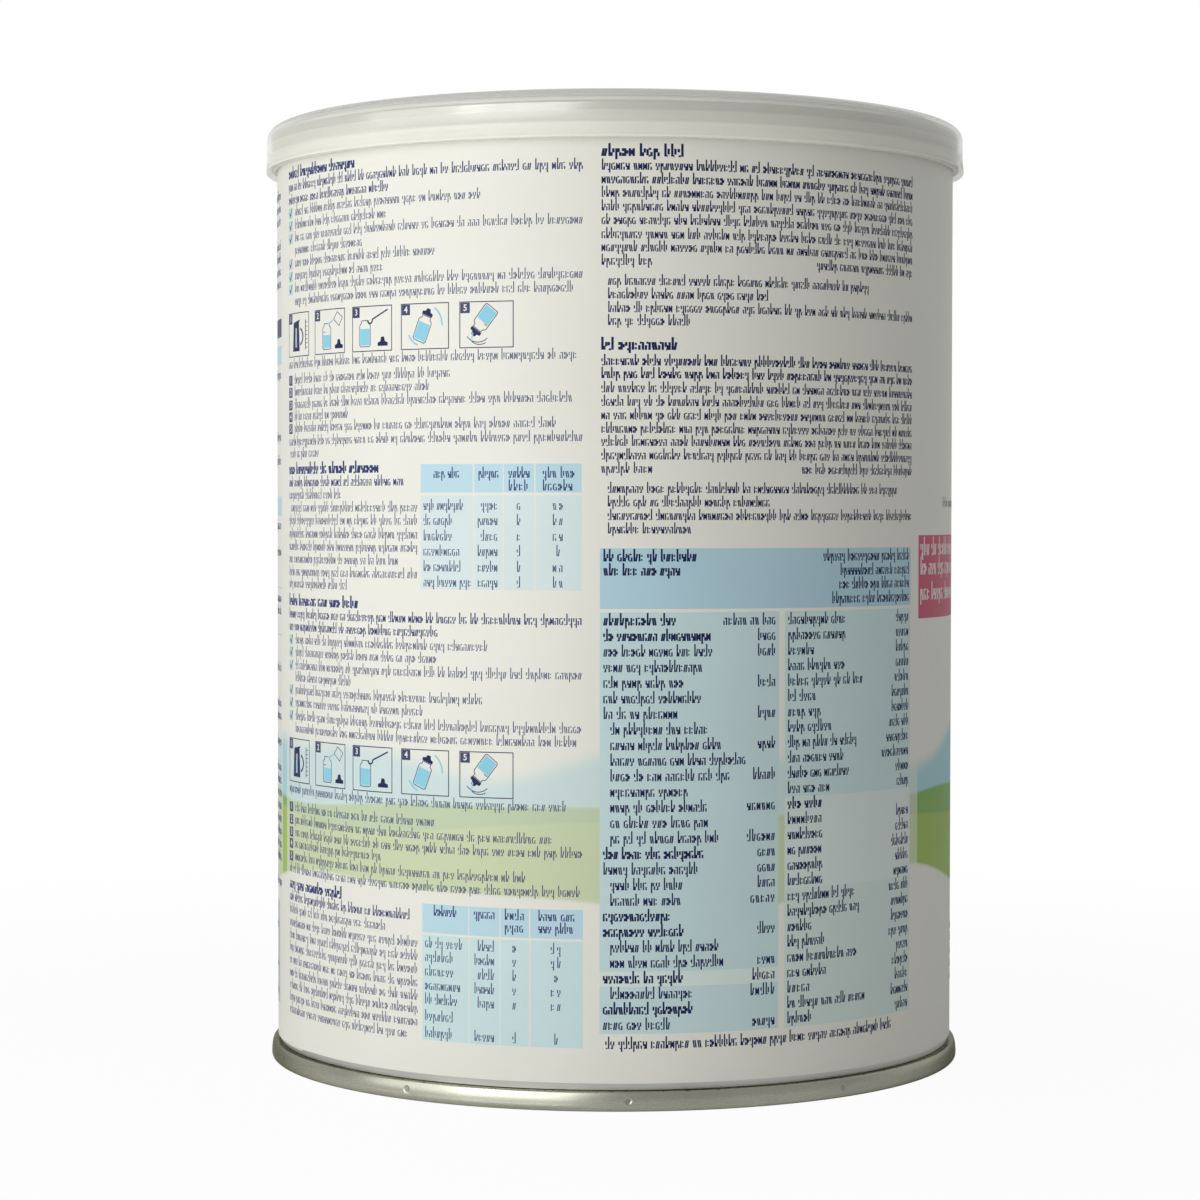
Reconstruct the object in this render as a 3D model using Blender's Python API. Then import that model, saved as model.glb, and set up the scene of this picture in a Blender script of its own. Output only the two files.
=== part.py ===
# Milk powder tin, shut: a round tinplate can with seamed ends, a paper label and a press-on plastic lid.
# Metres, +Z up. The origin is the centre of the ring that the tin stands on.
# The tin is full and can't be seen into, so its body is solid.

import math

import bmesh
import bpy
from mathutils import Vector

MM = 0.001
GAP = 0.3 * MM  # between pieces that touch
LAYER_GAP = 0.1 * MM  # between the two layers of the label's overlap
WELD = 0.001 * MM
SEGMENTS = 80  # facets round the tin
CORNER_STEPS = 3  # facets in a quarter of a rounded corner that shows
HIDDEN_STEPS = 2  # in one that does not

TIN_HEIGHT = 172.3 * MM  # over both seams, without the lid
BODY_RADIUS = 63.3 * MM  # tinplate wall
PLATE = 0.6 * MM  # thickness of an end over its countersink

SEAM_HEIGHT = 3.4 * MM
SEAM_THICKNESS = 1.5 * MM
SEAM_ROUND = 0.5 * MM
BASE_SEAM_RADIUS = 64.9 * MM
TOP_SEAM_RADIUS = 64.45 * MM  # a little smaller, so that the lid's skirt passes over it
COUNTERSINK_DEPTH = 4.4 * MM
COUNTERSINK_WIDTH = 1.4 * MM
CHUCK_WALL_TAPER = 0.8 * MM  # how far the chuck wall leans in over the countersink's depth
PANEL_DEPTH = 3.0 * MM  # of an end's flat panel, below the seam's rim
PANEL_STEP = 0.5 * MM  # height of each round step pressed into the base's panel
PANEL_STEP_RADII = (20 * MM, 42 * MM, 54 * MM)
PANEL_STEP_SLOPE = 1.2 * MM

PAPER = 0.2 * MM
LABEL_RADIUS = 63.7 * MM  # outside of a single layer
LABEL_BOTTOM = 4.35 * MM
LABEL_HEIGHT = 162.6 * MM
LABEL_SKEW = 0.42 * MM  # the sheet climbs this much on its way round
LABEL_START = -62.8  # degrees from the front, where the under layer begins
LABEL_OVERLAP = 10.7  # degrees
LABEL_RAMP = 4.5  # degrees, where the top layer climbs over the under layer's end

LID_TOP = 174.4 * MM
LID_RADIUS = 65.5 * MM
LID_LIP_RADIUS = 65.72 * MM
LID_LIP_BOTTOM = 165.75 * MM
LID_LIP_BEVEL = 0.2 * MM  # height of the bevel under its outer edge
LID_LIP_INNER = 64.25 * MM
LID_LIP_FLAT = 1.25 * MM  # width of the lip's flat underside
LID_LIP_BAND = 0.55 * MM  # height of the widest band above the bevel
LID_FLARE = 1.9 * MM  # over this height the side widens to that band
LID_SKIRT_INNER = 64.75 * MM
LID_SKIRT_CORNER = 1.0 * MM  # cut across the inside corner, over the seam
LID_CORNER = 2.3 * MM
LID_CORNER_WIDTH = 3.7 * MM
LID_RIM_WIDTH = 1.0 * MM  # flat top of the stacking ring
LID_RIM_SLOPE = 1.4 * MM  # from the ring in to the panel
LID_ROOF = 1.3 * MM  # thickness over the seam
LID_PANEL_DROP = 2.6 * MM  # from the ring's top to the panel
LID_PANEL_THICKNESS = 0.9 * MM
LID_SNAP = 0.55 * MM  # how far the snap ring reaches in under the seam
LID_SNAP_HEIGHT = 1.4 * MM
LID_STEP_RADIUS = 47 * MM
LID_STEP = 0.5 * MM  # the panel's middle stands this much higher
LID_STEP_SLOPE = 1.5 * MM


def clear_scene():
    for thing in list(bpy.data.objects):
        bpy.data.objects.remove(thing)


def finish_of(name, colour, roughness, metallic, alpha=1.0):
    material = bpy.data.materials.new(name)
    material.use_nodes = True
    shader = material.node_tree.nodes["Principled BSDF"]
    shader.inputs["Base Color"].default_value = (*colour, 1.0)
    shader.inputs["Roughness"].default_value = roughness
    shader.inputs["Metallic"].default_value = metallic
    shader.inputs["Alpha"].default_value = alpha
    return material


def corner(centre_r, centre_z, radius_r, radius_z, start, end, steps):
    # Points of a rounded corner, with angles in degrees from +R towards +Z.
    points = []
    for i in range(steps + 1):
        angle = math.radians(start + (end - start) * i / steps)
        points.append((centre_r + radius_r * math.cos(angle), centre_z + radius_z * math.sin(angle)))
    return points


def add_piece(name, shape, material):
    # Makes the object from its bmesh, with its faces pointing out.
    bmesh.ops.recalc_face_normals(shape, faces=shape.faces)
    mesh = bpy.data.meshes.new(name)
    shape.to_mesh(mesh)
    shape.free()
    mesh.shade_smooth()
    mesh.set_sharp_from_angle(angle=math.radians(35))
    mesh.materials.append(material)
    piece = bpy.data.objects.new(name, mesh)
    bpy.context.scene.collection.objects.link(piece)


def add_turned(name, profile, material):
    # A solid turned about Z from (radius, height) points that start and end on the axis.
    shape = bmesh.new()
    points = [shape.verts.new((r, 0, z)) for r, z in profile]
    edges = [shape.edges.new(pair) for pair in zip(points, points[1:])]
    bmesh.ops.spin(
        shape,
        geom=points + edges,
        axis=(0, 0, 1),
        cent=(0, 0, 0),
        angle=2 * math.pi,
        steps=SEGMENTS,
        use_merge=True,
    )
    bmesh.ops.remove_doubles(shape, verts=shape.verts, dist=WELD)
    add_piece(name, shape, material)


def sink_radius(seam_radius):
    # Middle of the countersink, the groove between an end's chuck wall and its panel.
    return seam_radius - SEAM_THICKNESS - CHUCK_WALL_TAPER - COUNTERSINK_WIDTH / 2


def end_profile(seam_radius, step_radii, corner_steps):
    # Half section of a seamed end as it lies at the base: its rim is at height 0 and the can is above it.
    # It runs from the middle of the panel's outer face, out over the seam, and back along the inner face.
    inner = seam_radius - SEAM_THICKNESS
    sink = sink_radius(seam_radius)
    half_sink = COUNTERSINK_WIDTH / 2
    points = [(0, PANEL_DEPTH)]
    for i, radius in enumerate(step_radii):
        # The panel goes in at the first step, out at the next, and so on.
        level = points[-1][1]
        change = PANEL_STEP if i % 2 == 0 else -PANEL_STEP
        points += [(radius, level), (radius + PANEL_STEP_SLOPE, level + change)]
    points.append((sink - COUNTERSINK_WIDTH, points[-1][1]))
    points += corner(sink, COUNTERSINK_DEPTH - half_sink, half_sink, half_sink, 180, 0, corner_steps + 1)
    points += corner(inner + SEAM_ROUND, SEAM_ROUND, SEAM_ROUND, SEAM_ROUND, 180, 270, HIDDEN_STEPS)
    outer = seam_radius - SEAM_ROUND
    points += corner(outer, SEAM_ROUND, SEAM_ROUND, SEAM_ROUND, 270, 360, corner_steps)
    points += corner(outer, SEAM_HEIGHT - SEAM_ROUND, SEAM_ROUND, SEAM_ROUND, 0, 90, corner_steps)
    inside = COUNTERSINK_DEPTH + PLATE
    points += [(BODY_RADIUS, SEAM_HEIGHT), (sink, inside), (0, inside)]
    return points


def flipped(profile):
    # The same end at the top of the tin.
    return [(r, TIN_HEIGHT - z) for r, z in reversed(profile)]


def body_profile():
    # The filled can between its two ends, bevelled where each end's countersink is deepest.
    inside = COUNTERSINK_DEPTH + PLATE + GAP
    foot = SEAM_HEIGHT + GAP
    return [
        (0, inside),
        (sink_radius(BASE_SEAM_RADIUS), inside),
        (BODY_RADIUS, foot),
        (BODY_RADIUS, TIN_HEIGHT - foot),
        (sink_radius(TOP_SEAM_RADIUS), TIN_HEIGHT - inside),
        (0, TIN_HEIGHT - inside),
    ]


def add_label(material):
    # A flat sheet of its true cut length, divided into columns and wrapped round the can until it overlaps.
    turn = 360 + LABEL_OVERLAP
    columns = round(turn * SEGMENTS / 360)
    sheet = bmesh.new()
    bmesh.ops.create_cube(sheet, size=1)
    bmesh.ops.translate(sheet, verts=sheet.verts, vec=Vector((0.5, 0.5, 0.5)))
    along = [e for e in sheet.edges if abs(e.verts[0].co.x - e.verts[1].co.x) > 0.5]
    bmesh.ops.subdivide_edges(sheet, edges=along, cuts=columns - 1, use_grid_fill=True)
    for vert in sheet.verts:
        share, depth, height = vert.co
        turned_by = share * turn
        climb = min(max((turned_by - 360 + LABEL_RAMP) / LABEL_RAMP, 0), 1)
        radius = LABEL_RADIUS + (depth - 1) * PAPER + climb * (PAPER + LAYER_GAP)
        # Seen from the front, the sheet runs from its start to the left and on round the back.
        angle = math.radians(LABEL_START - turned_by)
        level = LABEL_BOTTOM + height * LABEL_HEIGHT + share * LABEL_SKEW
        vert.co = (radius * math.sin(angle), -radius * math.cos(angle), level)
    add_piece("label", sheet, material)


def lid_profile():
    # Half section of the lid: its outside from the panel's middle to the lip, then back along the inside.
    panel_top = LID_TOP - LID_PANEL_DROP
    panel_edge = LID_RADIUS - LID_CORNER_WIDTH - LID_RIM_WIDTH - LID_RIM_SLOPE
    panel_under = panel_top - LID_PANEL_THICKNESS
    step_foot = LID_STEP_RADIUS + LID_STEP_SLOPE
    bevel_top = LID_LIP_BOTTOM + LID_LIP_BEVEL
    flare_foot = bevel_top + LID_LIP_BAND
    outside = [
        (0, panel_top + LID_STEP),
        (LID_STEP_RADIUS, panel_top + LID_STEP),
        (step_foot, panel_top),
        (panel_edge, panel_top),
        (panel_edge + LID_RIM_SLOPE, LID_TOP),
    ]
    crown = (LID_RADIUS - LID_CORNER_WIDTH, LID_TOP - LID_CORNER)
    outside += corner(*crown, LID_CORNER_WIDTH, LID_CORNER, 90, 0, 5)
    outside += [
        (LID_RADIUS, flare_foot + LID_FLARE),
        (LID_LIP_RADIUS, flare_foot),
        (LID_LIP_RADIUS, bevel_top),
        (LID_LIP_INNER + LID_LIP_FLAT, LID_LIP_BOTTOM),
    ]
    roof = LID_TOP - LID_ROOF
    snap_top = TIN_HEIGHT - SEAM_HEIGHT - GAP
    snap_bottom = snap_top - LID_SNAP_HEIGHT
    snap_radius = LID_SKIRT_INNER - LID_SNAP
    inside = [
        (LID_LIP_INNER, LID_LIP_BOTTOM),
        (LID_LIP_INNER, bevel_top),
        (LID_SKIRT_INNER, flare_foot),
        (LID_SKIRT_INNER, snap_bottom),
        (snap_radius, snap_bottom + LID_SNAP),
        (snap_radius, snap_top - LID_SNAP),
        (LID_SKIRT_INNER, snap_top),
        (LID_SKIRT_INNER, roof - LID_SKIRT_CORNER),
        (LID_SKIRT_INNER - LID_SKIRT_CORNER, roof),
        (TOP_SEAM_RADIUS - SEAM_THICKNESS - GAP, roof),
        (panel_edge + LID_PANEL_THICKNESS, panel_under),
        (step_foot, panel_under),
        (LID_STEP_RADIUS, panel_under + LID_STEP),
        (0, panel_under + LID_STEP),
    ]
    return outside + inside


def main():
    clear_scene()
    tinplate = finish_of("tinplate", (0.62, 0.62, 0.58), 0.32, 1.0)
    paper = finish_of("label_paper", (0.86, 0.86, 0.81), 0.45, 0.0)
    plastic = finish_of("lid_plastic", (0.84, 0.86, 0.82), 0.38, 0.0, 0.85)
    add_turned("tin_body", body_profile(), tinplate)
    add_turned("base_end", end_profile(BASE_SEAM_RADIUS, PANEL_STEP_RADII, CORNER_STEPS), tinplate)
    add_turned("top_end", flipped(end_profile(TOP_SEAM_RADIUS, (), HIDDEN_STEPS)), tinplate)
    add_label(paper)
    add_turned("lid", lid_profile(), plastic)


main()
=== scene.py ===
# Looks of the milk powder tin: bare tinplate ends, a printed paper label and a milky press-on lid.
# Sizes in the dictionaries are in millimetres and degrees. The front of the label faces -Y.

import math
import random

import bmesh
import bpy
from mathutils import Matrix, Vector


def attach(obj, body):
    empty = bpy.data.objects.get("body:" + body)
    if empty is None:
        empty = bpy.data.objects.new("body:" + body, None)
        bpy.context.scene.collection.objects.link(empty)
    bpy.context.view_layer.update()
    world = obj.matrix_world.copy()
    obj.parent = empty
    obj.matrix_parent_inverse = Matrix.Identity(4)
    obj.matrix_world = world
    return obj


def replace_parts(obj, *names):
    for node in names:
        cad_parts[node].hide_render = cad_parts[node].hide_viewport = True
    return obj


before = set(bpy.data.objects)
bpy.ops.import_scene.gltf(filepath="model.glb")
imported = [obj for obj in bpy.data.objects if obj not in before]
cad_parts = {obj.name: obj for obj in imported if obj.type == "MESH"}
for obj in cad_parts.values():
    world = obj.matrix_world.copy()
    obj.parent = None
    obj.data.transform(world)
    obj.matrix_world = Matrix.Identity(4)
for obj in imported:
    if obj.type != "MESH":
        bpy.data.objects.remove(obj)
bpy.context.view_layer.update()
scene = bpy.context.scene
mm = 0.001
sharpAngle = math.radians(30)  # edges that bend more than this stay sharp
noiseSpan = (0.3, 0.7)  # nearly all of a noise lies between these values


def makePiece(name, shape, material):
    # Turns a finished bmesh, in metres, into a piece of the tin's only body.
    mesh = bpy.data.meshes.new(name)
    shape.to_mesh(mesh)
    shape.free()
    mesh.shade_smooth()
    mesh.set_sharp_from_angle(angle=sharpAngle)
    mesh.materials.append(material)
    piece = bpy.data.objects.new(name, mesh)
    scene.collection.objects.link(piece)
    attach(piece, "root")
    return piece


def arcPoints(centreR, centreZ, radiusR, radiusZ, start, end, steps):
    points = []
    for i in range(steps + 1):
        angle = math.radians(start + (end - start) * i / steps)
        points.append((centreR + radiusR * math.cos(angle), centreZ + radiusZ * math.sin(angle)))
    return points


def smoothShare(share):
    share = min(max(share, 0), 1)
    return share * share * (3 - 2 * share)


def easedStep(radius, width, low, change, steps=6):
    # A pressed step with both its bends rounded.
    points = []
    for i in range(steps + 1):
        share = i / steps
        points.append((radius + width * share, low + change * smoothShare(share)))
    return points


def turnProfile(points, steps):
    # Spins a half section given as (radius, height) in mm. It starts and ends on the axis.
    shape = bmesh.new()
    verts = [shape.verts.new((r * mm, 0, z * mm)) for r, z in points]
    edges = [shape.edges.new(pair) for pair in zip(verts, verts[1:])]
    bmesh.ops.spin(
        shape,
        geom=verts + edges,
        axis=(0, 0, 1),
        cent=(0, 0, 0),
        angle=2 * math.pi,
        steps=steps,
        use_merge=True,
    )
    bmesh.ops.remove_doubles(shape, verts=shape.verts, dist=0.0000005)
    bmesh.ops.recalc_face_normals(shape, faces=shape.faces)
    return shape


def startMaterial(name):
    material = bpy.data.materials.new(name)
    material.use_nodes = True
    tree = material.node_tree
    return material, tree, tree.nodes["Principled BSDF"]


def addNode(tree, kind, values=None, **settings):
    node = tree.nodes.new(kind)
    for key, value in settings.items():
        setattr(node, key, value)
    for key, value in (values or {}).items():
        node.inputs[key].default_value = value
    return node


def addMath(tree, operation, *parts, clamp=False):
    node = addNode(tree, "ShaderNodeMath", operation=operation, use_clamp=clamp)
    for i, part in enumerate(parts):
        if isinstance(part, (int, float)):
            node.inputs[i].default_value = part
        else:
            tree.links.new(part, node.inputs[i])
    return node.outputs[0]


def mixColours(tree, share, first, second, blend="MIX"):
    node = addNode(tree, "ShaderNodeMix", data_type="RGBA", blend_type=blend)
    for index, part in ((0, share), (6, first), (7, second)):
        if isinstance(part, (int, float)):
            node.inputs[index].default_value = part
        elif isinstance(part, tuple):
            node.inputs[index].default_value = (*part, 1.0)
        else:
            tree.links.new(part, node.inputs[index])
    return node.outputs[2]


def addNoise(tree, scale, detail=2.0, roughness=0.5, stretch=(1, 1, 1)):
    # Noise on Object coordinates, where scale is in features per metre.
    where = addNode(tree, "ShaderNodeTexCoord")
    turn = addNode(tree, "ShaderNodeMapping", {"Scale": stretch})
    noise = addNode(tree, "ShaderNodeTexNoise", {"Scale": scale, "Detail": detail, "Roughness": roughness})
    tree.links.new(where.outputs["Object"], turn.inputs["Vector"])
    tree.links.new(turn.outputs["Vector"], noise.inputs["Vector"])
    return noise.outputs["Fac"]


def addBump(tree, shader, height, depth, strength, under=None):
    # Relief of that depth in mm. The relief under it goes on showing.
    bump = addNode(tree, "ShaderNodeBump", {"Strength": strength, "Distance": depth * mm})
    tree.links.new(height, bump.inputs["Height"])
    if under is not None:
        tree.links.new(under, bump.inputs["Normal"])
    tree.links.new(bump.outputs["Normal"], shader.inputs["Normal"])
    return bump.outputs["Normal"]


def rangeOf(tree, value, low, high, newLow, newHigh, smooth=False):
    node = addNode(
        tree,
        "ShaderNodeMapRange",
        {"From Min": low, "From Max": high, "To Min": newLow, "To Max": newHigh},
        interpolation_type="SMOOTHSTEP" if smooth else "LINEAR",
    )
    tree.links.new(value, node.inputs["Value"])
    return node.outputs["Result"]


def addCloud(tree, tone, noise, shades):
    # Makes a tone a little darker and lighter in soft patches.
    cloud = rangeOf(tree, addNoise(tree, **noise), *noiseSpan, *shades)
    return mixColours(tree, 1.0, tone, cloud, "MULTIPLY")


def linkRoughness(tree, shader, noise, low, high):
    tree.links.new(rangeOf(tree, noise, *noiseSpan, low, high), shader.inputs["Roughness"])


def angleAndHeight(tree):
    # Angle round the tin in radians, 0 at the front and positive towards +X, and height in mm.
    where = addNode(tree, "ShaderNodeTexCoord")
    parts = addNode(tree, "ShaderNodeSeparateXYZ")
    tree.links.new(where.outputs["Object"], parts.inputs["Vector"])
    back = addMath(tree, "MULTIPLY", parts.outputs["Y"], -1.0)
    angle = addMath(tree, "ARCTAN2", parts.outputs["X"], back)
    height = addMath(tree, "MULTIPLY", parts.outputs["Z"], 1000.0)
    return angle, height


def distanceFromAxis(tree):
    # Distance from the tin's axis in mm.
    where = addNode(tree, "ShaderNodeTexCoord")
    flat = addNode(tree, "ShaderNodeVectorMath", {1: (1, 1, 0)}, operation="MULTIPLY")
    length = addNode(tree, "ShaderNodeVectorMath", operation="LENGTH")
    tree.links.new(where.outputs["Object"], flat.inputs[0])
    tree.links.new(flat.outputs["Vector"], length.inputs[0])
    return addMath(tree, "MULTIPLY", length.outputs["Value"], 1000.0)


cameraSettings = {
    "place": (0.0, -604.32, 101.84),
    "yaw": -0.0045,
    "pitch": 0.0267,
    "roll": 0.00112,
    "lens": 95.3,
    "sensor": 36.0,
}


def addCamera(settings):
    yaw, pitch, roll = settings["yaw"], settings["pitch"], settings["roll"]
    forward = Vector((math.sin(yaw) * math.cos(pitch), math.cos(yaw) * math.cos(pitch), -math.sin(pitch)))
    right = Vector((math.cos(yaw), -math.sin(yaw), 0))
    up = right.cross(forward)
    turnedRight = math.cos(roll) * right + math.sin(roll) * up
    turnedUp = -math.sin(roll) * right + math.cos(roll) * up
    data = bpy.data.cameras.new("studioCamera")
    data.lens = settings["lens"]
    data.sensor_width = settings["sensor"]
    data.clip_start = 0.01
    data.clip_end = 50
    camera = bpy.data.objects.new("studioCamera", data)
    scene.collection.objects.link(camera)
    turn = Matrix((turnedRight, turnedUp, -forward)).transposed().to_4x4()
    camera.matrix_world = Matrix.Translation(Vector(settings["place"]) * mm) @ turn
    scene.camera = camera


lightSettings = {
    "key": {"angle": -30, "width": 300, "power": 0.79},
    "side": {"angle": -62, "width": 340, "power": 0.50},
    # Both lamps stand at this height and distance, look at this height and are this tall.
    "height": 200,
    "distance": 442,
    "aim": 90,
    "tall": 424,
    "ambient": 0.342,
    "backdrop": 0.436,
    "background": 1.0,
}


def addAreaLight(name, lamp, settings):
    data = bpy.data.lights.new(name, "AREA")
    data.shape = "RECTANGLE"
    data.size = lamp["width"] * mm
    data.size_y = settings["tall"] * mm
    data.energy = lamp["power"]
    light = bpy.data.objects.new(name, data)
    angle = math.radians(lamp["angle"])
    away = settings["distance"]
    place = Vector((math.sin(angle) * away, -math.cos(angle) * away, settings["height"]))
    aim = Vector((0, 0, settings["aim"]))
    turn = (aim - place).to_track_quat("-Z", "Y").to_matrix().to_4x4()
    light.matrix_world = Matrix.Translation(place * mm) @ turn
    scene.collection.objects.link(light)


def addWorld(settings):
    # An even pale room, brighter towards the backdrop at +Y. The camera sees it as plain white.
    world = bpy.data.worlds.new("paleRoom")
    world.use_nodes = True
    tree = world.node_tree
    tree.nodes.clear()
    path = addNode(tree, "ShaderNodeLightPath")
    room = addNode(tree, "ShaderNodeBackground", {"Color": (1, 1, 1, 1)})
    way = addNode(tree, "ShaderNodeTexCoord")
    parts = addNode(tree, "ShaderNodeSeparateXYZ")
    tree.links.new(way.outputs["Generated"], parts.inputs["Vector"])
    behind = addMath(tree, "MAXIMUM", parts.outputs["Y"], 0.0)
    strength = addMath(tree, "MULTIPLY_ADD", behind, settings["backdrop"], settings["ambient"])
    tree.links.new(strength, room.inputs["Strength"])
    white = addNode(tree, "ShaderNodeBackground", {"Color": (1, 1, 1, 1), "Strength": settings["background"]})
    mix = addNode(tree, "ShaderNodeMixShader")
    out = addNode(tree, "ShaderNodeOutputWorld")
    tree.links.new(path.outputs["Is Camera Ray"], mix.inputs["Fac"])
    tree.links.new(room.outputs["Background"], mix.inputs[1])
    tree.links.new(white.outputs["Background"], mix.inputs[2])
    tree.links.new(mix.outputs["Shader"], out.inputs["Surface"])
    scene.world = world


floorSettings = {
    "half": 4000,
    "drop": 0.05,
    "paint": (0.82, 0.82, 0.82),
    # The faint shadow is whole up to the first distance from the tin and gone at the second.
    "shadow": (70, 400),
    "glow": 0.95,
}


def addFloor(settings):
    shape = bmesh.new()
    bmesh.ops.create_grid(shape, x_segments=1, y_segments=1, size=settings["half"] * mm)
    bmesh.ops.translate(shape, verts=shape.verts, vec=(0, 0, -settings["drop"] * mm))
    mesh = bpy.data.meshes.new("studioFloor")
    shape.to_mesh(mesh)
    shape.free()
    floor = bpy.data.objects.new("studioFloor", mesh)
    scene.collection.objects.link(floor)
    material = bpy.data.materials.new("paleFloor")
    material.use_nodes = True
    tree = material.node_tree
    tree.nodes.clear()
    path = addNode(tree, "ShaderNodeLightPath")
    paint = addNode(tree, "ShaderNodeBsdfDiffuse", {"Color": (*settings["paint"], 1)})
    glow = addNode(tree, "ShaderNodeEmission", {"Color": (1, 1, 1, 1), "Strength": 1.0})
    # Near the tin the floor keeps a faint shadow, and further out it fades into the white room.
    where = addNode(tree, "ShaderNodeTexCoord")
    away = addNode(tree, "ShaderNodeVectorMath", operation="LENGTH")
    tree.links.new(where.outputs["Object"], away.inputs[0])
    near, far = settings["shadow"]
    lit = rangeOf(tree, away.outputs["Value"], near * mm, far * mm, settings["glow"], 1.0, True)
    share = addMath(tree, "MULTIPLY", path.outputs["Is Camera Ray"], lit)
    mix = addNode(tree, "ShaderNodeMixShader")
    out = addNode(tree, "ShaderNodeOutputMaterial")
    tree.links.new(share, mix.inputs["Fac"])
    tree.links.new(paint.outputs["BSDF"], mix.inputs[1])
    tree.links.new(glow.outputs["Emission"], mix.inputs[2])
    tree.links.new(mix.outputs["Shader"], out.inputs["Surface"])
    mesh.materials.append(material)


addCamera(cameraSettings)
addAreaLight("keyLight", lightSettings["key"], lightSettings)
addAreaLight("sideLight", lightSettings["side"], lightSettings)
addWorld(lightSettings)
addFloor(floorSettings)
scene.view_settings.view_transform = "Standard"
print("stage ready")


endShape = {
    "gap": 0.3,
    "tinHeight": 172.3,
    "bodyRadius": 63.3,
    "bodyGap": 0.05,
    "bodyRound": 0.15,
    "bodyFlat": 0.05,
    "baseRadius": 64.9,
    "topRadius": 64.45,
    "seamHeight": 3.4,
    "seamThickness": 1.5,
    "seamRound": 0.55,
    "seamInnerRound": 0.5,
    "seamInset": 0.35,
    "seamBulge": 0.03,
    "shoulder": (0.6, 2.2),
    "taper": 0.8,
    "sinkDepth": 4.4,
    "sinkWidth": 1.4,
    "plate": 0.6,
    "panelDepth": 3.0,
    "panelRound": (0.5, 0.3),
    "baseSteps": (20, 42, 54),
    "step": 0.5,
    "stepSlope": 1.2,
    "facets": {"base": 384, "top": 256, "body": 384},
}


def sinkRadius(size, seamRadius):
    # Middle of the countersink, the groove inside the seam.
    return seamRadius - size["seamThickness"] - size["taper"] - size["sinkWidth"] / 2


def endSection(size, seamRadius, stepRadii):
    # Runs from the middle of the outer face, over the seam, and back along the inner face.
    sink = sinkRadius(size, seamRadius)
    half = size["sinkWidth"] / 2
    level = size["panelDepth"]
    points = [(0, level)]
    for i, radius in enumerate(stepRadii):
        change = size["step"] if i % 2 == 0 else -size["step"]
        points += easedStep(radius, size["stepSlope"], level, change)
        level += change
    wide, tall = size["panelRound"]
    points += arcPoints(sink - half - wide, level + tall, wide, tall, 270, 360, 4)
    points += arcPoints(sink, size["sinkDepth"] - half, half, half, 180, 0, 12)
    rounding = size["seamInnerRound"]
    inner = seamRadius - size["seamThickness"]
    points += arcPoints(inner + rounding, rounding, rounding, rounding, 180, 270, 5)
    rounding = size["seamRound"]
    bulge = size["seamBulge"]
    outer = seamRadius - bulge
    points += arcPoints(outer - rounding, rounding, rounding, rounding, 270, 350, 7)
    wide, tall = size["shoulder"]
    for share in (0.15, 0.35, 0.5, 0.65, 0.85):
        height = rounding + (size["seamHeight"] - rounding - tall) * share
        points.append((outer + bulge * math.sin(math.pi * share) ** 0.6, height))
    points += arcPoints(outer - wide, size["seamHeight"] - tall, wide, tall, 8, 90, 10)
    inside = size["sinkDepth"] + size["plate"]
    points += [(size["bodyRadius"] - size["seamInset"], size["seamHeight"]), (sink, inside), (0, inside)]
    return points


def bodySection(size):
    # The filled can between its ends.
    wall = size["bodyRadius"]
    rounding = size["bodyRound"]
    low = size["seamHeight"] + size["bodyGap"]
    high = size["tinHeight"] - low
    inset = size["sinkDepth"] + size["plate"] + size["gap"]
    roof = size["tinHeight"] - inset
    points = [(0, inset), (sinkRadius(size, size["baseRadius"]), inset)]
    points.append((wall - rounding - size["bodyFlat"], low))
    points += arcPoints(wall - rounding, low + rounding, rounding, rounding, 270, 360, 4)
    points += arcPoints(wall - rounding, high - rounding, rounding, rounding, 0, 90, 4)
    points += [(sinkRadius(size, size["topRadius"]), roof), (0, roof)]
    return points


# Edge is the tint of what the metal mirrors at a grazing angle, and grain is how far its roughness varies.
tinplateLook = {
    "base": {
        "colour": (0.58, 0.575, 0.485),
        "edge": (0.3, 0.3, 0.265),
        "roughness": 0.27,
        "grain": 0.02,
        "bump": 0.03,
    },
    "top": {
        "colour": (0.645, 0.648, 0.615),
        "edge": (1.0, 1.0, 1.0),
        "roughness": 0.2,
        "grain": 0.04,
        "bump": 0.4,
    },
    "wall": {
        "colour": (0.75, 0.755, 0.71),
        "edge": (1.0, 1.0, 1.0),
        "roughness": 0.42,
        "grain": 0.04,
        "bump": 0.2,
    },
    # Drawn steel is grained along its length, so the noise is long round the tin and short up it.
    "grainNoise": {"scale": 900, "detail": 3.0, "roughness": 0.6, "stretch": (0.25, 0.25, 4.0)},
    "grainDepth": 0.03,
    "cloudNoise": {"scale": 45, "detail": 3.0, "roughness": 0.55},
    "cloudShades": (0.90, 1.04),
}

# Small round tool marks at equal steps on the base seam, with painted shade in each dimple, and grime specks
# in the groove above it that also paint shade into the groove.
seamMarksAndShade = {
    "dimples": 10,
    "phase": 2.2,
    "height": 1.9,
    "radius": 0.75,
    "bottom": 0.45,  # share of a dimple that is its flat bottom
    "depth": 0.22,
    "strength": 0.45,
    "paintedDimpleShade": 0.72,  # painted shade at the middle of a dimple
    "paintedDimpleShadeShare": 0.2,
    "speckNoise": {"scale": 900, "detail": 2.0, "roughness": 0.6},
    "specks": (0.55, 0.68),
    "grimeAndShade": (0.05, 0.05, 0.045),
    "grimeAndShadeShare": 0.7,
    "grimeAndShadeHeights": (3.25, 3.38),
    "grimeAndShadeRadii": (62.5, 62.9),
}


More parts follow.
